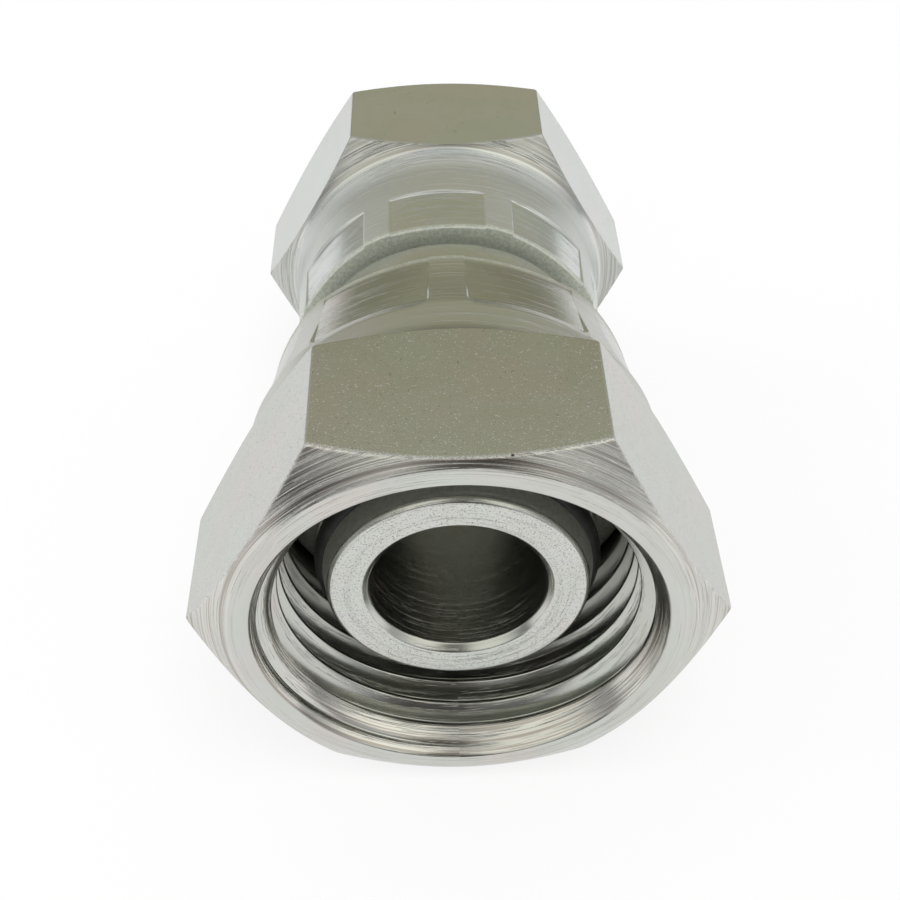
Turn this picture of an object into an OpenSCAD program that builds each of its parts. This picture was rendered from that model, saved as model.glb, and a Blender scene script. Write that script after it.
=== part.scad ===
/* [Large swivel nut] */
// Width across the flats of the large hexagon
large_af = 32; // [31:0.5:36]
// Length of the large hexagon, mouth face to the edge behind its flats
large_hex_length = 12.7; // [11.5:0.05:13.5]
// Length of the skirt behind the large hexagon
large_skirt_length = 10.8; // [10:0.05:13]
// Radial distance from the large flats in to the chamfer circle on the mouth face
large_face_inset = 0.7; // [0.5:0.1:1.5]
// Slope of the chamfer on the skirt side of the large hexagon
large_tail_slope = 31; // [15:1:42]
// Pitch of the thread in the large nut
large_pitch = 2; // [1:0.25:2]
// Depth of the thread in the large nut, from the mouth face
large_thread_depth = 11.5; // [9:0.1:12.5]
// Radial distance from the large flats in to the turned skirt
large_skirt_step = 0.7; // [0.5:0.05:0.9]
// How far the crimp draws in the ridges at the end of the large skirt
large_skirt_fall = 1.2; // [0.5:0.05:1.4]
// Radius of the turned hollow between the large hexagon and its skirt
large_neck_r = 3; // [2:0.5:5]
// Length of the large crimp, back from the end of the skirt
large_crimp_length = 6.3; // [5.5:0.1:7.5]
// Depth of the crimp below the ridges at its start
large_crimp_in = 0.35; // [0.3:0.05:0.5]
// Depth of the crimp below the ridges at the end of the large skirt
large_crimp_out = 0.55; // [0.3:0.05:0.8]
// Turn of the crimp marks round the large nut
large_crimp_turn = 21; // [0:0.5:45]

/* [Small swivel nut] */
// How much smaller the small hexagon is across its flats than the large one
flats_step = 5; // [3:0.5:6]
// Length of the small hexagon, mouth face to the edge behind its flats
small_hex_length = 10.5; // [9.5:0.1:11.5]
// Length of the skirt behind the small hexagon
small_skirt_length = 9.8; // [9:0.1:12]
// Radial distance from the small flats in to the chamfer circle on the mouth face
small_face_inset = 0.8; // [0.6:0.1:1.2]
// Slope of the chamfer on the skirt side of the small hexagon
small_tail_slope = 32; // [15:1:42]
// Pitch of the thread in the small nut
small_pitch = 1.5; // [1:0.25:2]
// Depth of the thread in the small nut, from the mouth face
small_thread_depth = 9.5; // [8:0.1:11]
// Radial distance from the small flats in to the turned skirt
small_skirt_step = 0.9; // [0.6:0.05:1.1]
// How far the crimp draws in the ridges at the end of the small skirt
small_skirt_fall = 0.1; // [0.05:0.05:0.5]
// Radius of the turned hollow between the small hexagon and its skirt
small_neck_r = 3; // [2:0.5:5]
// Length of the small crimp, back from the end of the skirt
small_crimp_length = 4.2; // [3.5:0.1:5]
// Depth of the crimp below the ridges at its start
small_crimp_in = 0.35; // [0.2:0.05:0.45]
// Depth of the crimp below the ridges at the end of the small skirt
small_crimp_out = 0.35; // [0.2:0.05:0.45]
// Turn of the crimp marks round the small nut
small_crimp_turn = -4.5; // [-22.5:0.5:22.5]

/* [Both nuts] */
// How much wider each hexagon is across its flats than its thread
flats_over_thread = 5; // [4.5:0.1:6]
// Radial relief of the countersink at each mouth, over the thread
mouth_relief = 0.65; // [0.3:0.05:0.7]
// Clear distance between the ends of the two skirts
skirt_gap = 6.2; // [5:0.1:9]
// How far inside the flats the turned neck of each nut starts
neck_inset = 0.1; // [0.05:0.05:0.2]
// Chamfer angle at the mouth of both hexagons
mouth_chamfer = 31; // [15:1:35]
// Number of jaws of the crimping tool
crimp_jaws = 8; // [6:1:10]
// How far the jaws reach ahead of the bend in the skirt
jaw_lead = 0.3; // [0.1:0.05:0.5]
// Share of the skirt's circumference that one set of jaws covers
jaw_cover = 0.77; // [0.6:0.01:0.85]
// How much flatter a jaw is than the skirt that it presses
jaw_flatness = 1.3; // [1.1:0.05:1.4]
// Extra radius of the chamber behind the thread, over the thread itself
chamber_relief = 0.15; // [0.05:0.05:0.3]
// Length of the lip that closes round the body at the end of each skirt
lip_length = 0.8; // [0.4:0.1:1.5]
// Rounding of the outer edge of each skirt end
skirt_edge = 0.25; // [0.1:0.05:0.5]

/* [Body] */
// Radial room between the large thread and the big end of its sealing cone
large_cone_room = 3.5; // [3:0.1:4.5]
// Radial room between the small thread and the big end of its sealing cone
small_cone_room = 2.5; // [2.1:0.1:3.5]
// Included angle of both sealing cones
cone_angle = 24; // [16:1:30]
// Distance from each nut's mouth face to the tip of its cone
nose_setback = 3.8; // [2.5:0.1:4.5]
// Length of each cone behind its seal groove
groove_shoulder = 0.56; // [0.4:0.02:1]
// Chamfer at the tip of each cone
nose_edge = 0.28; // [0.15:0.01:0.5]
// Distance from each cone's tip to the front of its seal groove
groove_setback = 1.8; // [1.4:0.1:2]
// Wall between the bore and the big end of the cone on the large side
large_nose_wall = 3.85; // [3.4:0.05:4.5]
// Depth of the bore on the large side, from the cone's tip
large_bore_depth = 26; // [20:0.5:30]
// Wall between the bore and the big end of the cone on the small side
small_nose_wall = 3.5; // [3.2:0.05:4.5]
// Chamfer at both mouths of the bore
bore_chamfer = 0.5; // [0.2:0.05:0.8]
// Distance between the end of each thread and the retaining collar
collar_room = 1.5; // [0.8:0.1:2]
// How far the collar stands out over the plain land between the nuts
large_lip_grip = 2.35; // [1.8:0.05:2.6]
// How far the collar stands out over the neck under the lip of the small nut
small_lip_grip = 1.15; // [0.9:0.05:1.6]
// Distance from the land to the end of the small skirt
land_clearance = 0.8; // [0.4:0.1:1.5]
// Edge break on the collars and the land
turned_edge = 0.25; // [0.1:0.05:0.4]

/* [Seals] */
// Thickness of each O-ring
ring_section = 2; // [1.8:0.05:2.1]
// How deep each O-ring's inner side lies under the big end of its cone
ring_depth = 2; // [1.8:0.05:2.3]
// Axial room beside each O-ring in its groove
ring_room = 0.4; // [0.2:0.05:0.6]

/* [Fits] */
// Radial running clearance between a lip and the body
lip_clearance = 0.06; // [0.02:0.01:0.1]
// Radial clearance between a collar and its chamber
collar_clearance = 0.3; // [0.1:0.05:0.5]
// Axial play of each nut against its collar
axial_play = 0.3; // [0.1:0.05:0.5]
// Clearance under each O-ring
ring_seat = 0.02; // [0.01:0.01:0.05]

/* [Hidden] */

small_af = large_af - flats_step;
large_nut_length = large_hex_length + large_skirt_length;
small_nut_length = small_hex_length + small_skirt_length;
overall_length = large_nut_length + skirt_gap + small_nut_length;
half_length = overall_length / 2;
large_crimp_start = large_nut_length - large_crimp_length;
small_crimp_start = small_nut_length - small_crimp_length;

large_skirt_r = large_af / 2 - large_skirt_step;
small_skirt_r = small_af / 2 - small_skirt_step;
large_ridge_r = large_skirt_r - large_skirt_fall;
small_ridge_r = small_skirt_r - small_skirt_fall;

// Depth of a basic metric internal thread, as a share of its pitch
thread_depth_share = 0.5413;
large_thread_r = (large_af - flats_over_thread) / 2;
small_thread_r = (small_af - flats_over_thread) / 2;
large_crest_r = large_thread_r - thread_depth_share * large_pitch;
small_crest_r = small_thread_r - thread_depth_share * small_pitch;
large_chamber_r = large_thread_r + chamber_relief;
small_chamber_r = small_thread_r + chamber_relief;

large_cone_r = large_thread_r - large_cone_room;
small_cone_r = small_thread_r - small_cone_room;
large_bore_r = large_cone_r - large_nose_wall;
small_bore_r = small_cone_r - small_nose_wall;
large_ring_r = large_cone_r - ring_depth;
small_ring_r = small_cone_r - ring_depth;

land_r = large_chamber_r - large_lip_grip;
small_neck_under_lip_r = small_chamber_r - small_lip_grip;
large_lip_r = land_r + lip_clearance;
small_lip_r = small_neck_under_lip_r + lip_clearance;
large_collar_r = large_chamber_r - collar_clearance;
small_collar_r = small_chamber_r - collar_clearance;

cone_rise = tan(cone_angle / 2);
groove_width = ring_section + ring_room;
groove_end = groove_setback + groove_width;
cone_length = groove_end + groove_shoulder;

steel = [0.66, 0.67, 0.61];
turned_steel = [0.72, 0.73, 0.68];
rubber = [0.08, 0.08, 0.08];
round_steps = 128;
arc_steps = 8;
ring_steps = 32;
cut_over = 1;

// Turned shapes are drawn along +Z from a mouth face, and these two lay them on the fitting's axis
module large_side() {
    translate([0, -half_length, 0]) rotate([-90, 0, 0]) children();
}

module small_side() {
    translate([0, half_length, 0]) rotate([90, 0, 0]) children();
}

// Hollow between hexagon and skirt: an arc that leaves the chamfer circle and ends along the skirt
function neck_arc(hex_length, start_r, skirt_r, neck_r) =
    let (drop = start_r - skirt_r,
         reach = sqrt(pow(neck_r, 2) - pow(neck_r - drop, 2)),
         steep = asin(reach / neck_r))
    [for (i = [0 : arc_steps])
        let (a = steep * (1 - i / arc_steps))
        [skirt_r + neck_r * (1 - cos(a)), hex_length + reach - neck_r * sin(a)]];

// Outside of the skirt, from the hexagon to the rounded end
module skirt(af, hex_length, skirt_r, neck_r, crimp_start, ridge_r, length) {
    start_r = af / 2 - neck_inset;
    rotate_extrude($fn = round_steps)
        polygon(concat(
            [[0, hex_length - cut_over], [start_r - cut_over, hex_length - cut_over]],
            neck_arc(hex_length, start_r, skirt_r, neck_r),
            [[skirt_r, crimp_start],
             [ridge_r, length - skirt_edge],
             [ridge_r - skirt_edge, length],
             [0, length]]));
}

// Hexagon with the mouth chamfer in front and the flatter one towards the skirt
module hexagon(af, hex_length, face_inset, tail_slope) {
    corner_r = af / 2 / cos(30);
    face_r = af / 2 - face_inset;
    mouth_rise = (corner_r - face_r) * tan(mouth_chamfer);
    start_r = af / 2 - neck_inset;
    tail_rise = (corner_r - start_r) * tan(tail_slope);
    intersection() {
        cylinder(h = hex_length, r = corner_r, $fn = 6);
        rotate_extrude($fn = round_steps)
            polygon([
                [0, 0],
                [face_r, 0],
                [corner_r, mouth_rise],
                [corner_r, hex_length - tail_rise],
                [start_r, hex_length],
                [0, hex_length]]);
    }
}

// What one jaw presses away: a sector of the skirt outside the jaw's slightly flatter face
module jaw_mark(start, length, skirt_r, in_r, out_r) {
    half_angle = jaw_cover * 180 / crimp_jaws;
    outer_r = skirt_r + cut_over;
    inner_r = out_r - cut_over;
    face_shift = in_r * (jaw_flatness - 1);
    run = length - start + jaw_lead;
    fall = (in_r - out_r) / run;
    difference() {
        translate([0, 0, start - jaw_lead])
            linear_extrude(run + cut_over)
                polygon([
                    [inner_r, -inner_r * tan(half_angle)],
                    [outer_r, -outer_r * tan(half_angle)],
                    [outer_r, outer_r * tan(half_angle)],
                    [inner_r, inner_r * tan(half_angle)]]);
        translate([-face_shift, 0, start - jaw_lead - cut_over])
            cylinder(
                h = run + 3 * cut_over,
                r1 = in_r + face_shift + fall * cut_over,
                r2 = out_r + face_shift - 2 * fall * cut_over,
                $fn = round_steps);
    }
}

module crimp(start, length, skirt_r, in_r, out_r, turn) {
    for (i = [0 : crimp_jaws - 1])
        rotate([0, 0, turn + i * 360 / crimp_jaws])
            jaw_mark(start, length, skirt_r, in_r, out_r);
}

// Hollow of a nut: countersink, thread bore, chamber for the collar, and the closed-in lip
module nut_hollow(thread_r, crest_r, thread_depth, chamber_r, crimp_start, lip_r, length) {
    mouth_r = thread_r + mouth_relief;
    rotate_extrude($fn = round_steps)
        polygon([
            [0, -cut_over],
            [mouth_r + cut_over, -cut_over],
            [crest_r, mouth_r - crest_r],
            [crest_r, thread_depth],
            [chamber_r, thread_depth + (chamber_r - crest_r)],
            [chamber_r, crimp_start],
            [lip_r, length - lip_length],
            [lip_r, length + cut_over],
            [0, length + cut_over]]);
}

module large_swivel_nut() {
    color(steel)
        large_side()
            difference() {
                union() {
                    hexagon(large_af, large_hex_length, large_face_inset, large_tail_slope);
                    skirt(large_af, large_hex_length, large_skirt_r, large_neck_r,
                        large_crimp_start, large_ridge_r, large_nut_length);
                }
                crimp(large_crimp_start, large_nut_length, large_skirt_r,
                    large_skirt_r - large_crimp_in, large_ridge_r - large_crimp_out, large_crimp_turn - 90);
                nut_hollow(large_thread_r, large_crest_r, large_thread_depth, large_chamber_r,
                    large_crimp_start, large_lip_r, large_nut_length);
            }
}

module small_swivel_nut() {
    color(steel)
        small_side()
            difference() {
                union() {
                    hexagon(small_af, small_hex_length, small_face_inset, small_tail_slope);
                    skirt(small_af, small_hex_length, small_skirt_r, small_neck_r,
                        small_crimp_start, small_ridge_r, small_nut_length);
                }
                crimp(small_crimp_start, small_nut_length, small_skirt_r,
                    small_skirt_r - small_crimp_in, small_ridge_r - small_crimp_out, 90 - small_crimp_turn);
                nut_hollow(small_thread_r, small_crest_r, small_thread_depth, small_chamber_r,
                    small_crimp_start, small_lip_r, small_nut_length);
            }
}

// One end of the body as [radius, distance from its mouth face], from the bore out to the shank
function nose(cone_r, bore_r, ring_inner_r) =
    let (base_r = cone_r - cone_length * cone_rise,
         floor_r = ring_inner_r - ring_seat)
    [[bore_r, nose_setback + bore_chamfer],
     [bore_r + bore_chamfer, nose_setback],
     [base_r + nose_edge * cone_rise - nose_edge, nose_setback],
     [base_r + nose_edge * cone_rise, nose_setback + nose_edge],
     [base_r + groove_setback * cone_rise, nose_setback + groove_setback],
     [floor_r, nose_setback + groove_setback],
     [floor_r, nose_setback + groove_end],
     [base_r + groove_end * cone_rise, nose_setback + groove_end],
     [cone_r, nose_setback + cone_length]];

// The collar behind the shank, with a tail that follows the nut's closed-in skirt
function collar(cone_r, thread_end, collar_r, neck_r, chamber_r, crimp_start, lip_r, length) =
    let (slope = (chamber_r - lip_r) / (length - lip_length - crimp_start),
         tail = crimp_start - axial_play,
         setback = thread_end + collar_room)
    [[cone_r, setback],
     [collar_r - turned_edge, setback],
     [collar_r, setback + turned_edge],
     [collar_r, tail + (chamber_r - collar_r) / slope],
     [neck_r, tail + (chamber_r - neck_r) / slope]];

module fitting_body() {
    bore_end = nose_setback + large_bore_depth;
    drill_point = large_bore_r - small_bore_r;
    land_end = overall_length - small_nut_length - land_clearance;
    large_end = concat(
        nose(large_cone_r, large_bore_r, large_ring_r),
        collar(large_cone_r, large_thread_depth + large_chamber_r - large_crest_r, large_collar_r, land_r,
            large_chamber_r, large_crimp_start, large_lip_r, large_nut_length));
    small_end = concat(
        nose(small_cone_r, small_bore_r, small_ring_r),
        collar(small_cone_r, small_thread_depth + small_chamber_r - small_crest_r, small_collar_r,
            small_neck_under_lip_r, small_chamber_r, small_crimp_start, small_lip_r, small_nut_length));
    small_back = [for (i = [len(small_end) - 1 : -1 : 0]) [small_end[i][0], overall_length - small_end[i][1]]];
    color(turned_steel)
        large_side()
            rotate_extrude($fn = round_steps)
                polygon(concat(
                    large_end,
                    [[land_r, land_end - turned_edge],
                     [land_r - turned_edge, land_end],
                     [small_neck_under_lip_r, land_end]],
                    small_back,
                    [[small_bore_r, bore_end + drill_point],
                     [large_bore_r, bore_end]]));
}

// An O-ring sits against the floor of its groove, in the middle of the groove's width
module o_ring(inner_r) {
    translate([0, 0, nose_setback + groove_setback + groove_width / 2])
        rotate_extrude($fn = round_steps)
            translate([inner_r + ring_section / 2, 0])
                circle(d = ring_section, $fn = ring_steps);
}

module large_o_ring() {
    color(rubber) large_side() o_ring(large_ring_r);
}

module small_o_ring() {
    color(rubber) small_side() o_ring(small_ring_r);
}

fitting_body();
large_swivel_nut();
small_swivel_nut();
large_o_ring();
small_o_ring();
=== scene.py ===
"""Looks of a straight hydraulic fitting: two crimped swivel nuts of different size on one turned body.

All sizes are in millimetres until a mesh is made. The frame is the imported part's own: the fitting's axis
lies along Y, the large nut towards -Y, and a flat of each hexagon faces up.
"""

import bmesh
import bpy
import numpy as np
from mathutils import Matrix, Vector


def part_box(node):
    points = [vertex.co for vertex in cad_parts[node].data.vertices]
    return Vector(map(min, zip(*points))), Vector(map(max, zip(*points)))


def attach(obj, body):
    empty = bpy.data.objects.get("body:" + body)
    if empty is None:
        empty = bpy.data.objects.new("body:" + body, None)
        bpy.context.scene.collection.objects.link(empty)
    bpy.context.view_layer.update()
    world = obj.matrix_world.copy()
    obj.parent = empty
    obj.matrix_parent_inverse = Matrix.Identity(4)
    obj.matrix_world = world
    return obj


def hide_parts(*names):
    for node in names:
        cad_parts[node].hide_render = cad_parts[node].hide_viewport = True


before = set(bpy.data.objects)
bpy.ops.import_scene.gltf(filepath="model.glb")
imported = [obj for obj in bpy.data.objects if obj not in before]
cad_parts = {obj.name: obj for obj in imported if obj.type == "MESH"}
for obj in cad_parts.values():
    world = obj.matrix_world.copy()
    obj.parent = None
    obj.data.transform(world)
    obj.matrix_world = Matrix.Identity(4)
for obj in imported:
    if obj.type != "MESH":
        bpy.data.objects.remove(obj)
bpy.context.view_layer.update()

# Large swivel nut: cut from 32 mm hexagonal steel bar, both ends chamfered on the lathe and a thread cut
# inside. Eight jaws pressed its thin skirt in behind the body's collar, which drew the metal down softly in
# front of them. Zinc plating left a pale, slightly olive skin with fine grains.

MM = 0.001


def span(node):
    """Lowest and highest corner of a CAD node in millimetres."""
    low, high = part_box(node)
    return np.array(low) / MM, np.array(high) / MM


def smooth(t):
    """An S-shaped step from 0 to 1: three t squared less two t cubed, flat below 0 and above 1."""
    t = np.clip(t, 0, 1)
    return t * t * (3 - 2 * t)


def round_the_axis(edges, spacing, close):
    """Angles once round in degrees: even steps, and a tight group of steps at each given edge in their
    place. An even step nearer than 0.4 of the spacing to a group is left out, and so is one of two angles
    that all but meet. The last angle is the first one plus 360, so that a surface closes on itself."""
    even = np.arange(0, 360, spacing)
    tight = (np.asarray(edges)[:, None] + close).ravel() % 360
    apart = np.abs((even[:, None] - tight + 180) % 360 - 180).min(1)
    angles = np.sort(np.concatenate([even[apart > 0.4 * spacing], tight]))
    angles = angles[np.diff(angles, prepend=-1) > 0.04]
    return np.append(angles, angles[0] + 360)


def soft_corners(corners, trims, steps=6):
    """Rows of a section whose corners are rounded off: at each inner corner a quadratic curve runs between
    the two points one trim away from it, or 0.3 of the shorter side where that is less, with a further row
    on each side that holds the faces flat. Beside each row stands its place: the number of its corner, plus
    or minus up to 0.3."""
    corners = [np.stack(np.broadcast_arrays(*corner), -1) for corner in corners]
    rows, places = [corners[0]], [0.0]
    for number, trim in enumerate(trims, 1):
        before, corner, after = corners[number - 1 : number + 2]
        to_before, to_after = before - corner, after - corner
        reach_before = np.linalg.norm(to_before, axis=-1, keepdims=True)
        reach_after = np.linalg.norm(to_after, axis=-1, keepdims=True)
        cut = np.minimum(trim, 0.3 * np.minimum(reach_before, reach_after))
        start = to_before / reach_before * cut
        end = to_after / reach_after * cut
        bend = [(1 - t) ** 2 * start + t**2 * end for t in np.linspace(0, 1, steps)]
        rows += [corner + offset for offset in [start * 1.5, *bend, end * 1.5]]
        places += [number - 0.3, *np.linspace(number - 0.2, number + 0.2, steps), number + 0.3]
    return np.array(rows + [corners[-1]]), np.array(places + [len(corners) - 1.0])[:, None]


CORNER_ROUNDING = 0.3
NECK_INSET = 0.1
MOUTH_SLOPE = 31
HEXAGON_TRIMS = [0.18, 0.22, 0.2]


def hexagon_reach(angle, across_flats):
    """Radius of a rounded hexagon: half the width over the cosine of the angle from the nearest flat,
    and near a corner the far side of a small circle set into that corner."""
    off_flat = (angle + 30) % 60 - 30
    off_corner = np.radians(30 - np.abs(off_flat))
    flat = across_flats / 2 / np.cos(np.radians(off_flat))
    centre = (across_flats / 2 - CORNER_ROUNDING) / np.cos(np.pi / 6)
    inside = np.clip(CORNER_ROUNDING**2 - (centre * np.sin(off_corner)) ** 2, 0, None)
    arc = centre * np.cos(off_corner) + np.sqrt(inside)
    tangent = np.arctan2(CORNER_ROUNDING / 2, centre + CORNER_ROUNDING * np.cos(np.pi / 6))
    return np.where(off_corner < tangent, arc, flat)


def hexagon_rows(angle, across_flats, mouth_r, face_inset, hex_length, tail_slope):
    """Section from the middle of the mouth face over the chamfer, the flats and the rear chamfer: each
    chamfer is a cone, so it meets the flats where its radius is the hexagon's radius at that angle. The
    marks are steps along the numbers of the corners: 1 ends the mouth face, 2 and 3 bound the flats."""
    face_r = across_flats / 2 - face_inset
    start_r = across_flats / 2 - NECK_INSET
    reach = hexagon_reach(angle, across_flats)
    front = (reach - face_r) * np.tan(np.radians(MOUTH_SLOPE))
    rear = hex_length - (reach - start_r) * np.tan(np.radians(tail_slope))
    flat = np.zeros_like(angle)
    rows, place = soft_corners(
        [((mouth_r + face_r) / 2 + flat, flat), (face_r + flat, flat), (reach, front), (reach, rear),
         (start_r + flat, hex_length + flat)],
        HEXAGON_TRIMS,
    )
    # inside paints the rear chamfer darker, a painted shade.
    return rows, {
        "drawn": smooth((place - 1.9) / 0.2) * smooth((3.1 - place) / 0.2),
        "chamfered": smooth((place - 1.0) / 0.2) * smooth((2.1 - place) / 0.1) + smooth((place - 2.9) / 0.2)
        + 0.2 * smooth((1.0 - place) / 0.2),
        "edge": smooth(1 - np.abs(place - 2.1) / 0.35),
        "inside": 0.4 * smooth((place - 2.9) / 0.2),
    }


JAWS = 8
JAW_HALF_ANGLE = 17.3
JAW_FLATNESS = 0.3
FALL_LEAD = 0.8
FALL_START = 0.05
FALL_BEND = 1.4
JAW_SIDE = 0.7
DRAW_BEND = 1.15
SKIRT_EDGE = 0.6
NECK_ROWS, TURNED_ROWS, CRIMP_ROWS = 12, 14, 17
ROWS_AT_JAW = np.array([-0.25, -0.14, -0.06, 0.0, 0.05, 0.16, 0.3])


def skirt_rows(angle, across_flats, hex_length, length, skirt_step, skirt_fall, neck_r, crimp_length,
               jaw_lead, draw_length, draw_spread, depth_in, depth_out, turn, combed):
    """Rows of the skirt: an arc down from the hexagon, a straight turned stretch, then the crimp, where the
    radius falls ever less steeply: by one less a power of the way that is left. In each jaw's sector it is
    the flatter arc of the jaw's face instead, a circle with its middle set back from the axis. In front of
    the jaw the metal goes down to that arc by a power of the way, between sides that grow sharper."""
    skirt_r = across_flats / 2 - skirt_step
    drop = skirt_step - NECK_INSET
    reach = np.sqrt(neck_r**2 - (neck_r - drop) ** 2)
    jaw_start = length - crimp_length - jaw_lead
    fall_start = length - crimp_length - FALL_LEAD
    last = length - SKIRT_EDGE
    sweep = np.arcsin(reach / neck_r) * np.linspace(1, 0, NECK_ROWS)[1:]
    neck_s = hex_length + reach - neck_r * np.sin(sweep)
    jaw_s = jaw_start + ROWS_AT_JAW
    turned_s = np.linspace(neck_s[-1], jaw_s[0], TURNED_ROWS)[1:-1]
    crimp_s = np.linspace(jaw_s[-1], last, CRIMP_ROWS)[1:]
    s = np.concatenate([neck_s, turned_s, jaw_s, crimp_s])[:, None]
    arc = skirt_r + neck_r - np.sqrt(np.clip(neck_r**2 - (hex_length + reach - s) ** 2, 0, None))
    bend = np.clip((s - fall_start) / (last - fall_start), 0, 1)
    fallen = 1 - (1 - bend**2 * (1 + FALL_START) / (bend + FALL_START)) ** FALL_BEND
    turned = np.where(s < hex_length + reach, arc, skirt_r) - skirt_fall * fallen
    into_jaw = np.clip((s - jaw_start) / (length - jaw_start), 0, 1)
    floor_r = (skirt_r - depth_in) * (1 - into_jaw) + (skirt_r - skirt_fall - depth_out) * into_jaw
    shift = (skirt_r - depth_in) * JAW_FLATNESS
    off = (angle - turn + 180 / JAWS) % (360 / JAWS) - 180 / JAWS
    across, along = np.sin(np.radians(off)), np.cos(np.radians(off))
    face = np.sqrt((floor_r + shift) ** 2 - (shift * across) ** 2) - shift * along
    ahead = np.clip((s - jaw_start + draw_length) / draw_length, 0, 1)
    side = smooth((JAW_HALF_ANGLE + JAW_SIDE / 2 - np.abs(off)) / (JAW_SIDE + draw_spread * (1 - ahead)))
    radius = turned + (np.minimum(face, turned) - turned) * side * ahead**DRAW_BEND
    pressed = side * smooth((s - jaw_start + 0.1) / 0.15)
    below_neck = smooth((s - hex_length - 0.1 * reach) / (0.3 * reach))
    # combed marks the turned skirt, which the material also paints a little paler, a painted sheen.
    return np.stack(np.broadcast_arrays(radius, s), -1), {"combed": combed * below_neck * (1 - pressed)}


THREAD_RELIEF = 0.15
MOUTH_RELIEF = 0.65
MOUTH_CONE = 0.6
MOUTH_START = 0.13
ROOT_ROOM = 0.2
DEPTH_OVER_PITCH = 0.5413
CREST_HALF, FLANK = 0.07, 0.37
FLANK_ENDS = np.array([-0.014, 0, 0.014])
HALF_TURN_ROWS = np.array([0, 0.05, 0.07, 0.09, 0.2, 0.32, 0.42, 0.44, 0.46])


def thread_rows(angle, thread_r, mouth_r, chamber_r, pitch, depth, lead_in, sense):
    """Rows that climb with the thread: row number k at angle a lies (k + a / 360) pitches along the axis.
    The first rows lie ahead of the mouth, and all are clipped to the stretch from its rounded edge to the
    chamber. The radius is the crest's, plus the depth times a trapezoid wave of the row's own phase with
    softened ends, and never less than the countersink's or the chamber's cone."""
    crest_r = thread_r - DEPTH_OVER_PITCH * pitch
    height = thread_r + ROOT_ROOM - crest_r
    end = depth + chamber_r - crest_r
    one_turn = np.concatenate([HALF_TURN_ROWS, 1 - HALF_TURN_ROWS[:0:-1]])
    turns = np.arange(-int(lead_in / pitch) - 2, int(end / pitch) + 3)
    phase = (turns[:, None] + one_turn).reshape(-1, 1)
    start = lead_in + sense * angle / 360 * pitch
    s = np.clip(start + phase * pitch, MOUTH_START, end)
    shifted = (s - start) / pitch + FLANK_ENDS[:, None, None]
    wave = np.clip((np.abs((shifted + 0.5) % 1 - 0.5) - CREST_HALF) / FLANK, 0, 1).mean(0)
    thread = crest_r + height * wave
    cone = mouth_r - MOUTH_START - (s - MOUTH_START) * MOUTH_CONE
    radius = np.maximum(thread, np.maximum(cone, chamber_r - (end - s)))
    # inside paints the thread darker the deeper it lies, a painted shade.
    marks = {"inside": 0.12 * smooth((s - 1.5) / 0.5) + 0.58 * smooth((s - 6) / 5),
             "countersunk": smooth((cone - thread + 0.08) / 0.1)}
    return np.stack([radius, s], -1)[::-1], {label: mark[::-1] for label, mark in marks.items()}


def turned_mesh(name, stretches, angle, mouth_y, sense):
    """One closed mesh from stretches of rows of (radius, distance from the mouth): x is radius times the sine
    and z radius times the cosine of the angle from the top. Each stretch brings its marks, which become
    attributes, and equal points are merged at the seam and where rows run together."""
    rows = np.concatenate([points for points, marks in stretches])
    turn = np.radians(angle)
    radius, s = rows[..., 0], rows[..., 1]
    points = np.stack([radius * np.sin(turn), mouth_y + sense * s, radius * np.cos(turn)], -1) * MM
    index = np.arange(radius.size).reshape(radius.shape)
    following = np.roll(index, -1, 0)
    quads = np.stack([index[:, :-1], index[:, 1:], following[:, 1:], following[:, :-1]], -1)
    mesh = bpy.data.meshes.new(name)
    mesh.from_pydata(points.reshape(-1, 3), [], quads.reshape(-1, 4).tolist())
    for label in sorted({label for points, marks in stretches for label in marks}):
        value = [np.broadcast_to(marks.get(label, 0.0), points.shape[:2]) for points, marks in stretches]
        layer = mesh.attributes.new(label, "FLOAT", "POINT")
        layer.data.foreach_set("value", np.concatenate(value).astype(np.float32).ravel())
    work = bmesh.new()
    work.from_mesh(mesh)
    bmesh.ops.remove_doubles(work, verts=work.verts, dist=2e-6)
    bmesh.ops.dissolve_degenerate(work, edges=work.edges, dist=1e-7)
    bmesh.ops.recalc_face_normals(work, faces=work.faces)
    work.to_mesh(mesh)
    work.free()
    mesh.shade_smooth()
    piece = bpy.data.objects.new(name, mesh)
    bpy.context.scene.collection.objects.link(piece)
    return piece


LIP_LENGTH = 0.8
CHAMBER_STEP = 0.5
THREAD_GAP = 5
MOUTH_EDGE, MOUTH_TRIM = 0.4, 0.12
END_TRIMS = [0.18, 0.05, 0.12, 0.1, 0.1]
ANGLE_STEP = 1.6
ANGLES_AT_EDGE = [-0.6, -0.35, -0.12, 0.12, 0.35, 0.6]


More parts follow.
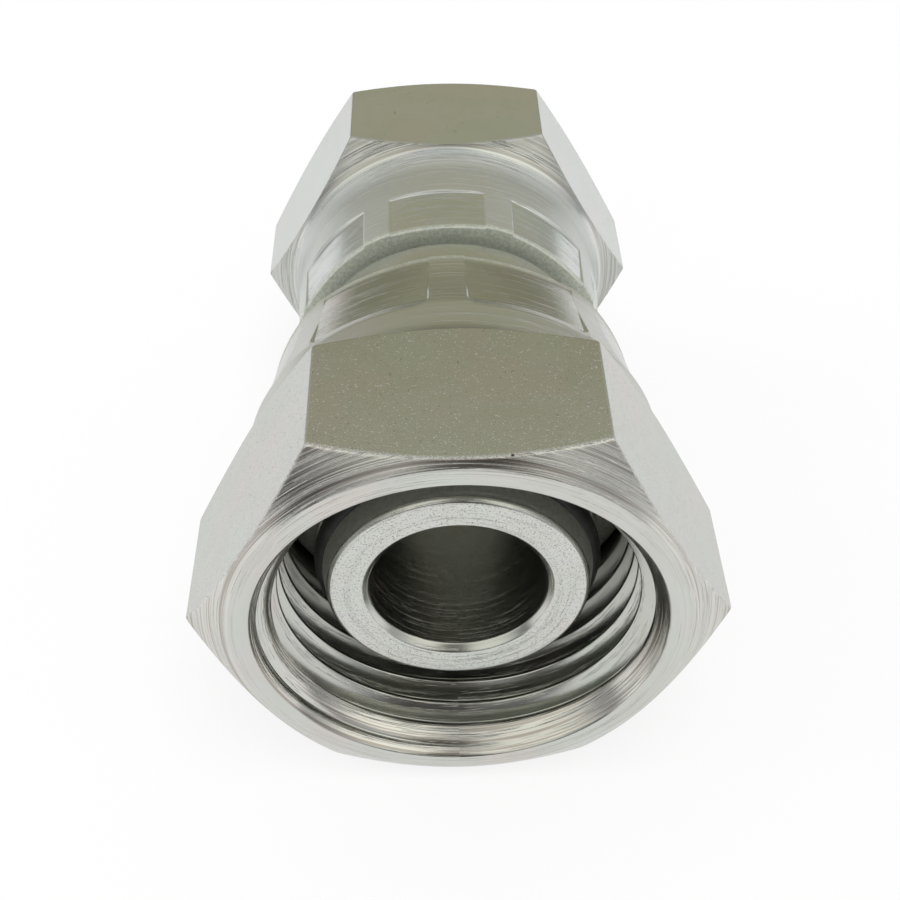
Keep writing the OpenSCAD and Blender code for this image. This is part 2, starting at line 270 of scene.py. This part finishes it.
def swivel_nut(node, sense, hexagon, thread, skirt, lip_r):
    """A whole nut in the place of its node, as one closed section: hexagon, skirt, rounded end, lip, chamber,
    thread and mouth face. sense is 1 where the section runs towards +Y from the mouth, and -1 towards -Y.
    The end's marks are steps along the numbers of its corners: 1 is the rim, 2 to 4 are the lip."""
    low, high = span(node)
    mouth_y = low[1] if sense > 0 else high[1]
    length, across_flats = high[1] - low[1], high[2] - low[2]
    jaw_middles = skirt["turn"] + 360 / JAWS * np.arange(JAWS)
    jaw_edges = jaw_middles[:, None] + [-JAW_HALF_ANGLE, JAW_HALF_ANGLE]
    angle = round_the_axis(np.append(30 + 60 * np.arange(6), jaw_edges), ANGLE_STEP, ANGLES_AT_EDGE)
    flat = np.zeros_like(angle)
    thread_r = (across_flats - THREAD_GAP) / 2
    mouth_r, chamber_r = thread_r + MOUTH_RELIEF, thread_r + THREAD_RELIEF
    outside = hexagon_rows(angle, across_flats, mouth_r, **hexagon)
    sleeve = skirt_rows(angle, across_flats, hexagon["hex_length"], length, **skirt)
    rim = sleeve[0][-1, :, 0]
    chamber_end = length - skirt["crimp_length"]
    end, end_place = soft_corners(
        [(rim, length - SKIRT_EDGE), (rim, length + flat), ((rim + lip_r) / 2, length),
         (lip_r + flat, length), (lip_r + flat, length - LIP_LENGTH),
         (chamber_r + flat, chamber_end), (chamber_r + flat, chamber_end - CHAMBER_STEP)],
        END_TRIMS,
    )
    # rough paints the rim's end face paler, partly a painted lift of its shade; edge gives the rim a painted
    # highlight; inside paints the lip and chamber darker, a painted shade.
    end_marks = {"rough": smooth((3.2 - end_place) / 0.4), "inside": smooth((end_place - 3.0) / 0.3),
                 "edge": smooth(1 - np.abs(end_place - 1.0) / 0.3)}
    face, _ = soft_corners(
        [(mouth_r - MOUTH_EDGE + flat, MOUTH_EDGE), (mouth_r + flat, 0),
         ((mouth_r + across_flats / 2 - hexagon["face_inset"]) / 2 + flat, 0)],
        [MOUTH_TRIM],
    )
    bore, bore_marks = thread_rows(angle, thread_r, mouth_r, chamber_r, sense=sense, **thread)
    bore_marks = {label: mark[:-1] for label, mark in bore_marks.items()}
    stretches = [outside, sleeve, (end[1:], {label: mark[1:] for label, mark in end_marks.items()}),
                 (bore[:-1], bore_marks), (face[1:-1], {})]
    return turned_mesh(node + "_plated", stretches, angle, mouth_y, sense)


large_nut = swivel_nut(
    "large_swivel_nut",
    sense=1,
    hexagon={"hex_length": 12.7, "face_inset": 0.7, "tail_slope": 31},
    thread={"pitch": 2.0, "depth": 11.5, "lead_in": 4.68},
    skirt={"skirt_step": 0.7, "skirt_fall": 1.2, "neck_r": 3.0, "crimp_length": 6.3, "jaw_lead": -0.1,
           "draw_length": 1.1, "draw_spread": 5.0, "depth_in": 0.52, "depth_out": 0.30, "turn": 21.0,
           "combed": 0.5},
    lip_r=11.36,
)


class Signal:
    """A shader socket that takes part in sums: each operator adds the Math node that it stands for."""

    def __init__(self, tree, socket):
        self.tree, self.socket = tree, socket

    def out(self, name):
        """Another output of the same node."""
        return Signal(self.tree, self.socket.node.outputs[name])

    def maths(self, operation, first, second):
        """The result of a Math node with two inputs."""
        node = self.tree.nodes.new("ShaderNodeMath")
        node.operation = operation
        for place, value in zip(node.inputs, (first, second)):
            feed(self.tree, place, value)
        return Signal(self.tree, node.outputs[0])

    def __add__(self, other):
        return self.maths("ADD", self, other)

    def __radd__(self, other):
        return self.maths("ADD", other, self)

    def __sub__(self, other):
        return self.maths("SUBTRACT", self, other)

    def __rsub__(self, other):
        return self.maths("SUBTRACT", other, self)

    def __mul__(self, other):
        return self.maths("MULTIPLY", self, other)

    def __rmul__(self, other):
        return self.maths("MULTIPLY", other, self)

    def __pow__(self, other):
        return self.maths("POWER", self, other)

    def __rpow__(self, other):
        return self.maths("POWER", other, self)


def feed(tree, place, value):
    """Links a signal to a socket, or writes a plain value into it."""
    if isinstance(value, Signal):
        tree.links.new(value.socket, place)
    else:
        place.default_value = value


class Finish:
    """The nodes of one material or world, made as they are named."""

    def __init__(self, owner):
        owner.use_nodes = True
        self.owner, self.tree = owner, owner.node_tree
        self.tree.nodes.clear()

    def node(self, kind, settings=None, output=0, **sockets):
        """Adds a node: its type, its settings, then its sockets. A socket is named with _ for a space, or i
        and its number where names repeat."""
        node = self.tree.nodes.new("ShaderNode" + kind)
        for key, value in (settings or {}).items():
            setattr(node, key, value)
        for key, value in sockets.items():
            place = int(key[1:]) if key[1:].isdigit() else key.replace("_", " ")
            feed(self.tree, node.inputs[place], value)
        return Signal(self.tree, node.outputs[output]) if node.outputs else None

    def attribute(self, name):
        """A mark that the mesh carries, 0 where it has none."""
        return self.node("Attribute", {"attribute_name": name}, output="Fac")

    def between(self, value, low, high):
        """An S-shaped step from 0 at low to 1 at high."""
        return self.node("MapRange", {"interpolation_type": "SMOOTHSTEP"},
                         Value=value, From_Min=low, From_Max=high)

    def mix(self, amount, first, second):
        """Colours blended from the first, at amount 0, to the second, at 1."""
        return self.node("Mix", {"data_type": "RGBA"}, output=2, i0=amount, i6=first, i7=second)

    def noise(self, vector, scale, detail=2.0, roughness=0.5):
        """Cloudy values around a half, with features about one over the scale in size."""
        return self.node("TexNoise", Vector=vector, Scale=scale, Detail=detail, Roughness=roughness)


def shade_of(colour, *factors):
    """A colour with its channels times the given factors, and alpha 1."""
    return (*np.multiply(colour, factors).tolist(), 1.0)


COARSE_MARKS, FINE_MARKS = 2600.0, 12000.0
GRAINS, MOTTLE, CLOUDS, DRIFT = 8500.0, 3200.0, 330.0, 190.0
PITS, FLAKES = (3800.0, 1500.0, 2400.0), (13000.0, 18000.0, 13000.0)
BUMP_HEIGHT = 0.00001
GLINT_TILT = 1.1


def plated_steel(name, tint, dull, glinting, listed_spots=()):
    """Zinc on steel; the patterns above are in features per metre. Lathe marks are noise over (radius, y,
    angle), which forms rings round the axis: coarse on the chamfers and in the countersink, fine where the
    skirt was combed, faint elsewhere; the combed skirt is also painted a little paler, a painted sheen. The
    flats have grains, some of which, picked by a cell's random colour, are tilted and glint, and are painted
    paler too, a painted glint. Pits and specks are thresholds of noise. Rough surfaces are blotchy and
    painted paler, partly their own grain and partly a painted lift of their shade. Marked edges get a ragged
    pale line, a painted highlight. Surfaces marked inside are painted darker, a painted shade. The tint
    drifts between olive, rose and green. Each listed spot is a ragged spot of the given brightness: (place,
    reach, brightness)."""
    f = Finish(bpy.data.materials.new(name))
    place = f.node("TexCoord", output="Object")
    x = f.node("SeparateXYZ", Vector=place)
    y, z = x.out("Y"), x.out("Z")
    drawn, chamfered, inside = f.attribute("drawn"), f.attribute("chamfered"), f.attribute("inside")
    countersunk, combed, edge = f.attribute("countersunk"), f.attribute("combed"), f.attribute("edge")
    rough, speckled = f.attribute("rough"), f.attribute("speckled")
    radius = (x * x + z * z) ** 0.5
    angle = f.node("Math", {"operation": "ARCTAN2"}, i0=x, i1=z)
    rings = f.node("CombineXYZ", X=radius * COARSE_MARKS, Y=y * COARSE_MARKS, Z=angle * 0.3)
    wide_marks = f.noise(rings, 1.0, 4.0, 0.8)
    rings = f.node("CombineXYZ", X=radius * FINE_MARKS, Y=y * FINE_MARKS, Z=angle * 0.8)
    thin_marks = f.noise(rings, 1.0, 2.0, 0.6)
    grains = f.noise(place, GRAINS, 3.0, 0.7)
    cloud = f.noise(place, CLOUDS, 3.0, 0.6)
    drift = f.noise(place, DRIFT, 1.0, 0.5)

    colour = f.mix(f.between(cloud, 0.35, 0.68), shade_of(tint, 0.95, 0.96, 0.93), shade_of(tint, 1, 1, 1))
    colour = f.mix(f.between(drift, 0.54, 0.68), colour, shade_of(tint, 1.015, 0.97, 0.96))
    colour = f.mix(f.between(1.0 - drift, 0.54, 0.68), colour, shade_of(tint, 0.97, 1.0, 0.97))
    dark_streak, bright_streak = shade_of(tint, 0.66, 0.60, 0.57), shade_of(tint, 1.15, 1.13, 1.11)
    streaked = f.mix(f.between(wide_marks, 0.40, 0.50), dark_streak, bright_streak)
    colour = f.mix(chamfered * 0.8 + countersunk * 0.9, colour, streaked)
    # Painted sheen: the combed skirt is painted a little paler than the rest.
    colour = f.mix(combed, colour, shade_of(tint, 1.07, 1.07, 1.05))
    # Painted light: surfaces marked rough are blotchy and painted paler, partly their own grain and partly a
    # lift of their shade.
    mottle = f.between(f.noise(place, MOTTLE, 3.0, 0.7), 0.38, 0.62)
    mottled_with_painted_lift = f.mix(mottle, shade_of(tint, 1.05, 1.07, 1.0), shade_of(tint, 1.28, 1.29, 1.22))
    colour = f.mix(rough, colour, mottled_with_painted_lift)
    # Painted shade: surfaces marked inside are darkened towards a deep olive, and made rougher.
    colour = f.mix(inside, colour, shade_of(tint, 0.45, 0.45, 0.40))
    stretched = f.node("VectorMath", {"operation": "MULTIPLY"}, i0=place, i1=PITS)
    pits = f.between(f.noise(stretched, 1.0, 2.0, 0.6), 0.69, 0.73) * drawn
    specks = f.between(grains, 0.54, 0.64) * (speckled * 0.75 + rough * 0.25)
    colour = f.mix(pits * 0.35 + specks, colour, shade_of(tint, 0.34, 0.34, 0.33))
    # Painted highlight: a ragged pale line along the marked edges.
    painted_edge_highlight = f.between(grains, 0.47, 0.53) * edge
    colour = f.mix(painted_edge_highlight * 0.6, colour, (0.85, 0.85, 0.82, 1))
    # Listed spots: dark nicks and a scratch, and two bright dots, each set to its brightness.
    for at, reach, brightness in listed_spots:
        middle = tuple(np.array(at) * MM)
        away = f.node("VectorMath", {"operation": "DISTANCE"}, output="Value", i0=place, i1=middle)
        ragged = away + (grains - 0.5) * (reach * MM)
        spot = f.between(ragged, reach * MM, 0.4 * reach * MM)
        colour = f.mix(spot, colour, (brightness, brightness, brightness, 1))
    flakes = f.node("VectorMath", {"operation": "MULTIPLY"}, i0=place, i1=FLAKES)
    cells = f.node("TexVoronoi", output="Color", Vector=flakes, Scale=1.0)
    picked = f.between(f.node("SeparateXYZ", Vector=cells).out("Z"), 0.93, 0.96)
    glints = picked * (drawn + 0.3 * speckled) * glinting
    # Painted glint: the picked cells are painted paler as well as tilted.
    colour = f.mix(glints * 0.35, colour, (0.9, 0.9, 0.86, 1))

    lines = f.between(wide_marks, 0.55, 0.59) * 2.4
    wide = (wide_marks + lines) * (0.3 + 2.2 * chamfered + 2.2 * countersunk + 0.6 * combed)
    thin = thin_marks * (0.3 + 1.0 * chamfered + 1.0 * countersunk + 2.4 * combed)
    grainy = grains * (0.2 + 0.5 * drawn + 2.0 * rough + 2.5 * edge)
    height = (wide + thin) * (1.0 - drawn) + grainy
    bump = f.node("Bump", Strength=1.0, Distance=BUMP_HEIGHT, Height=height)
    tilt = f.node("VectorMath", {"operation": "SUBTRACT"}, i0=cells, i1=(0.5, 0.5, 0.5))
    tilt = f.node("VectorMath", {"operation": "SCALE"}, i0=tilt, Scale=glints * GLINT_TILT)
    normal = f.node("VectorMath", {"operation": "ADD"}, i0=bump, i1=tilt)
    normal = f.node("VectorMath", {"operation": "NORMALIZE"}, i0=normal)
    roughness = dull + 0.08 * cloud + 0.45 * rough + 0.22 * combed + 0.3 * inside
    shader = f.node("BsdfPrincipled", Base_Color=colour, Metallic=1.0, Specular_Tint=(0.85, 0.85, 0.85, 1),
                    Roughness=roughness, Normal=normal)
    f.node("OutputMaterial", Surface=shader)
    return f.owner


large_nut.data.materials.append(plated_steel(
    "zinc_plate_on_large_nut",
    tint=(0.60, 0.605, 0.575),
    dull=0.14,
    glinting=1.0,
    listed_spots=[((3.09, -24.4, 16.0), 0.16, 0.05), ((0.92, -5.4, 14.9), 0.16, 0.12),
          ((-0.19, -5.3, 14.9), 0.12, 0.9), ((-0.21, -6.1, 14.9), 0.10, 0.9)],
))
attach(large_nut, "large_nut")
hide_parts("large_swivel_nut")

# Small swivel nut: made like the large one, from 27 mm hexagonal bar, and facing the other way. Its long neck
# runs down in one curve, and its jaws pressed the skirt in evenly, with a sharp step at their front edge.

small_nut = swivel_nut(
    "small_swivel_nut",
    sense=-1,
    hexagon={"hex_length": 10.5, "face_inset": 0.8, "tail_slope": 32},
    thread={"pitch": 1.5, "depth": 9.5, "lead_in": 3.0},
    skirt={"skirt_step": 0.9, "skirt_fall": 0.1, "neck_r": 3.6, "crimp_length": 4.2, "jaw_lead": 0.3,
           "draw_length": 0.14, "draw_spread": 0.0, "depth_in": 0.22, "depth_out": 0.30, "turn": -4.5,
           "combed": 1.0},
    lip_r=10.06,
)
small_nut.data.materials.append(
    plated_steel("zinc_plate_on_small_nut", tint=(0.69, 0.71, 0.70), dull=0.16, glinting=0.1)
)
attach(small_nut, "small_nut")
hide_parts("small_swivel_nut")

# Body: one bar turned on the lathe and drilled through. A 24 degree cone at each end has a groove for its
# seal, a collar behind each shank holds a nut's skirt, and a plain land shows between the nuts.

body_low, body_high = span("fitting_body")
body_length = body_high[1] - body_low[1]
CONE_LENGTH = 4.76
CONE_RISE = np.tan(np.radians(12))
LARGE_CONE_R, SMALL_CONE_R = 10.0, 8.5
LARGE_COLLAR_R, SMALL_COLLAR_R = 13.35, 10.85
LARGE_BORE_R, SMALL_BORE_R = 6.15, 5.0
LARGE_BORE_DEPTH, BORE_STEP = 26.0, 1.15
LAND_R, STEM_R, LAND_END = 11.3, 10.0, 25.1
GROOVE_START, GROOVE_END, GROOVE_DEPTH = 2.0, 4.2, 2.02
BORE_CHAMFER, NOSE_EDGE = 0.5, 0.28
TURNED_TRIM = 0.12
BODY_STEPS = 192


def nose_corners(cone_r, bore_r):
    """One end of the body as (radius, distance from its tip), from the bore's mouth to the cone's big end."""
    base = cone_r - CONE_LENGTH * CONE_RISE
    groove_r = cone_r - GROOVE_DEPTH
    return [(bore_r, BORE_CHAMFER), (bore_r + BORE_CHAMFER, 0), (base + NOSE_EDGE * (CONE_RISE - 1), 0),
            (base + NOSE_EDGE * CONE_RISE, NOSE_EDGE), (base + GROOVE_START * CONE_RISE, GROOVE_START),
            (groove_r, GROOVE_START), (groove_r, GROOVE_END), (base + GROOVE_END * CONE_RISE, GROOVE_END),
            (cone_r, CONE_LENGTH)]


# Behind each nose: the end of the shank, the collar's two edges, and where its taper ends.
large_part = nose_corners(LARGE_CONE_R, LARGE_BORE_R)
large_part += [(LARGE_CONE_R, 10.43), (LARGE_COLLAR_R, 10.43), (LARGE_COLLAR_R, 13.82), (LAND_R, 18.74)]
small_part = nose_corners(SMALL_CONE_R, SMALL_BORE_R)
small_part += [(SMALL_CONE_R, 8.16), (SMALL_COLLAR_R, 8.16), (SMALL_COLLAR_R, 12.94), (STEM_R, 15.59)]
loop = large_part + [(LAND_R, LAND_END), (STEM_R, LAND_END)]
loop += [(r, body_length - s) for r, s in small_part[::-1]]
loop += [(SMALL_BORE_R, LARGE_BORE_DEPTH + BORE_STEP), (LARGE_BORE_R, LARGE_BORE_DEPTH)]
middle_of_bore = (LARGE_BORE_R, LARGE_BORE_DEPTH / 2)
body_angle = np.linspace(0, 360, BODY_STEPS + 1)
flat = np.zeros_like(body_angle)
corners = [(r + flat, s + flat) for r, s in [middle_of_bore, *loop, middle_of_bore]]
section, _ = soft_corners(corners, [TURNED_TRIM] * len(loop), steps=5)
section = section[:-1]
from_tip = np.minimum(section[..., 1], body_length - section[..., 1])
bored = smooth((LARGE_BORE_R + 0.3 - section[..., 0]) / 0.2)
shaded = smooth((from_tip - 0.3) / 0.2) * smooth((12.0 - from_tip) / 0.2)
# inside paints the bore darker, a painted shade; rough paints the body up to 12 mm from each tip paler,
# partly a painted lift of its shade.
body_marks = {"speckled": smooth(1 - from_tip / 0.15) * (1 - bored), "inside": 0.12 * bored,
              "rough": 0.7 * shaded * (1 - bored)}
fitting_body = turned_mesh("fitting_body_turned", [(section, body_marks)], body_angle, body_low[1], 1)
fitting_body.data.materials.append(
    plated_steel("zinc_plate_on_turned_bar", tint=(0.635, 0.64, 0.61), dull=0.18, glinting=0.1)
)
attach(fitting_body, "body")
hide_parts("fitting_body")

# O-rings: moulded black rubber, stretched into the groove of each cone to seal it, and a little oily.

STEPS_AROUND, STEPS_ACROSS = 128, 28


def seal_ring(node):
    """A torus in the place of its node: a circle of half the node's width, carried round the axis."""
    low, high = span(node)
    thick = (high[1] - low[1]) / 2
    middle = (high[2] - low[2]) / 2 - thick
    around = np.linspace(0, 360, STEPS_AROUND + 1)
    across = np.radians(np.linspace(0, 360, STEPS_ACROSS + 1)[:-1])[:, None] + 0 * around
    rows = np.stack([middle + thick * np.cos(across), thick + thick * np.sin(across)], -1)
    return turned_mesh(node + "_rubber", [(rows, {})], around, low[1], 1)


f = Finish(bpy.data.materials.new("seal_rubber_black"))
dust = f.noise(f.node("TexCoord", output="Object"), 900.0, 3.0)
f.node("OutputMaterial", Surface=f.node(
    "BsdfPrincipled",
    Base_Color=f.mix(f.between(dust, 0.4, 0.8), (0.018, 0.018, 0.018, 1), (0.04, 0.04, 0.038, 1)),
    Roughness=0.38 + 0.2 * dust,
))
for node in ("large_o_ring", "small_o_ring"):
    ring = seal_ring(node)
    ring.data.materials.append(f.owner)
    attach(ring, "body")
    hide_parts(node)

# Table: white and flat. The fitting lies on the rear edge of the large nut's lower flat and on the far edge
# of the small nut's, so the table falls by about four degrees under its axis. The camera sees it mostly as
# a glowing card, which leaves the faint shadow of a bright white ground.

TABLE_SIZE = 0.6
TABLE_GAP = 0.02
TABLE_GLOW = 0.8
LARGE_TOUCH, SMALL_TOUCH = 12.64, 0.48
large_low, _ = span("large_swivel_nut")
small_low, small_high = span("small_swivel_nut")
front_touch = Vector((0, large_low[1] + LARGE_TOUCH, large_low[2])) * MM
rear_touch = Vector((0, small_high[1] - SMALL_TOUCH, small_low[2])) * MM
along = (rear_touch - front_touch).normalized()
up = Vector((1, 0, 0)).cross(along)
table_middle = front_touch - up * TABLE_GAP * MM
mesh = bpy.data.meshes.new("table_top")
mesh.from_pydata([table_middle + (x * Vector((1, 0, 0)) + y * along) * TABLE_SIZE / 2
                  for x, y in ((-1, -1), (1, -1), (1, 1), (-1, 1))], [], [(0, 1, 2, 3)])
table = bpy.data.objects.new("table_top", mesh)
bpy.context.scene.collection.objects.link(table)


def seen_directly(f):
    """1 for rays from the camera and for those in which metal or glass mirrors the room, otherwise 0."""
    path = f.node("LightPath", output="Is Camera Ray")
    mirrored = path.maths("MAXIMUM", path.out("Is Glossy Ray"), path.out("Is Transmission Ray"))
    return path.maths("MAXIMUM", path, mirrored)


f = Finish(bpy.data.materials.new("white_table"))
card = f.node("BsdfDiffuse", Color=(0.9, 0.9, 0.9, 1))
glow = f.node("Emission", Color=(1, 1, 1, 1), Strength=1.0)
f.node("OutputMaterial", Surface=f.node("MixShader", i0=seen_directly(f) * TABLE_GLOW, i1=card, i2=glow))
mesh.materials.append(f.owner)

# Light: a white room, and round the table a tent of thin cloth that shows only in the metal. The tent is dim
# behind the fitting and round the camera, and bright where a window shines through it on each side.

ROOM_LIGHT = 0.75
TENT_RADIUS = 1.5
TENT_COLUMNS, TENT_ROWS = 180, 69

world = bpy.data.worlds.new("white_room")
bpy.context.scene.world = world
f = Finish(world)
strength = ROOM_LIGHT + (1 - ROOM_LIGHT) * seen_directly(f)
f.node("OutputWorld", Surface=f.node("Background", Color=(1, 1, 1, 1), Strength=strength))


def lobe(azimuth, elevation, at, wide, high, tall, power=4):
    """A patch of the tent with soft edges: e to the power of minus the distances in azimuth and elevation,
    each over its own reach and raised to a power. The higher the power, the sharper the edge."""
    aside = (azimuth - at + 180) % 360 - 180
    return np.exp(-(np.abs(aside / wide) ** power) - np.abs((elevation - high) / tall) ** power)


azimuth, elevation = np.meshgrid(np.linspace(0, 360, TENT_COLUMNS + 1)[:-1], np.linspace(-12, 90, TENT_ROWS))
back = lobe(azimuth, elevation, at=0, wide=42, high=12, tall=48)
low_back = lobe(azimuth, elevation, at=0, wide=34, high=2, tall=14)
glimmer = lobe(azimuth, elevation, at=0, wide=60, high=27, tall=10)
front = lobe(azimuth, elevation, at=174, wide=16, high=18, tall=38, power=8)
low_left = lobe(azimuth, elevation, at=-145, wide=32, high=-2, tall=11)
right_window = lobe(azimuth, elevation, at=130, wide=45, high=44, tall=26, power=6)
left_window = lobe(azimuth, elevation, at=-130, wide=50, high=42, tall=26, power=6)
horizon = np.exp(-((elevation / 8) ** 2))
shade = 0.58 - 0.20 * back - 0.12 * low_back + 0.6 * right_window + 0.42 * left_window
shade = (shade - 0.2 * horizon * (1 - back) + 0.035 * glimmer) * (1 - 0.85 * low_left)
windows = left_window + right_window
warmth = back[..., None] * np.array([0, 0.03, 0.30]) + windows[..., None] * np.array([0, 0.01, 0.09])
colour = shade[..., None] * (1 - warmth)
colour = colour * (1 - front[..., None] * (1 - 0.13 * np.array([1, 0.93, 0.88])))
turn, rise = np.radians(azimuth), np.radians(elevation)
points = np.stack([np.sin(turn) * np.cos(rise), np.cos(turn) * np.cos(rise), np.sin(rise)], -1) * TENT_RADIUS
index = np.arange(turn.size).reshape(turn.shape)
beside = np.roll(index, -1, 1)
quads = np.stack([index[:-1], beside[:-1], beside[1:], index[1:]], -1).reshape(-1, 4)
mesh = bpy.data.meshes.new("light_tent")
mesh.from_pydata(points.reshape(-1, 3), [], quads.tolist())
layer = mesh.attributes.new("shade", "FLOAT_COLOR", "POINT")
colour = np.concatenate([colour, np.ones_like(colour[..., :1])], -1)
layer.data.foreach_set("color", colour.astype(np.float32).ravel())
tent = bpy.data.objects.new("light_tent", mesh)
tent.visible_camera = tent.visible_diffuse = tent.visible_shadow = False
bpy.context.scene.collection.objects.link(tent)
f = Finish(bpy.data.materials.new("tent_cloth"))
cloth = f.node("Attribute", {"attribute_name": "shade"}, output="Color")
f.node("OutputMaterial", Surface=f.node("Emission", Color=cloth, Strength=1.0))
mesh.materials.append(f.owner)


def soft_lamp(name, place, size, watts):
    """A square lamp that looks at the fitting. The metal mirrors the tent in its place."""
    light = bpy.data.lights.new(name, "AREA")
    light.size, light.energy = size, watts
    lamp = bpy.data.objects.new(name, light)
    lamp.location = place
    lamp.rotation_euler = (-Vector(place)).to_track_quat("-Z", "Y").to_euler()
    lamp.visible_glossy = False
    bpy.context.scene.collection.objects.link(lamp)


soft_lamp("soft_lamp_above", (0.1, -0.25, 0.9), 0.5, 3.0)
soft_lamp("soft_lamp_left", (-0.9, 0.1, 0.5), 0.5, 2.0)

# Camera: held a little over a hand's breadth from the large nut, about 44 degrees above the axis and a touch
# to its left.

YAW, RISE, ROLL = np.radians((-1.15, 43.52, -0.22))
EYE = Vector((-1.79, -82.78, 71.95)) * MM
SENSOR_WIDTH = 36.0
FOCAL_PIXELS, PICTURE_PIXELS = 1375.5, 900

back = Vector((np.sin(YAW) * np.cos(RISE), -np.cos(YAW) * np.cos(RISE), np.sin(RISE)))
level = (-back).cross(Vector((0, 0, 1))).normalized()
upright = level.cross(-back)
right = np.cos(ROLL) * level + np.sin(ROLL) * upright
upper = -np.sin(ROLL) * level + np.cos(ROLL) * upright
lens = bpy.data.cameras.new("camera")
lens.sensor_width, lens.lens = SENSOR_WIDTH, FOCAL_PIXELS / PICTURE_PIXELS * SENSOR_WIDTH
lens.clip_start, lens.clip_end = 0.005, 20.0
camera = bpy.data.objects.new("camera", lens)
camera.matrix_world = Matrix((right, upper, back)).transposed().to_4x4()
camera.location = EYE
bpy.context.scene.collection.objects.link(camera)
bpy.context.scene.camera = camera
bpy.context.scene.view_settings.view_transform = "Standard"
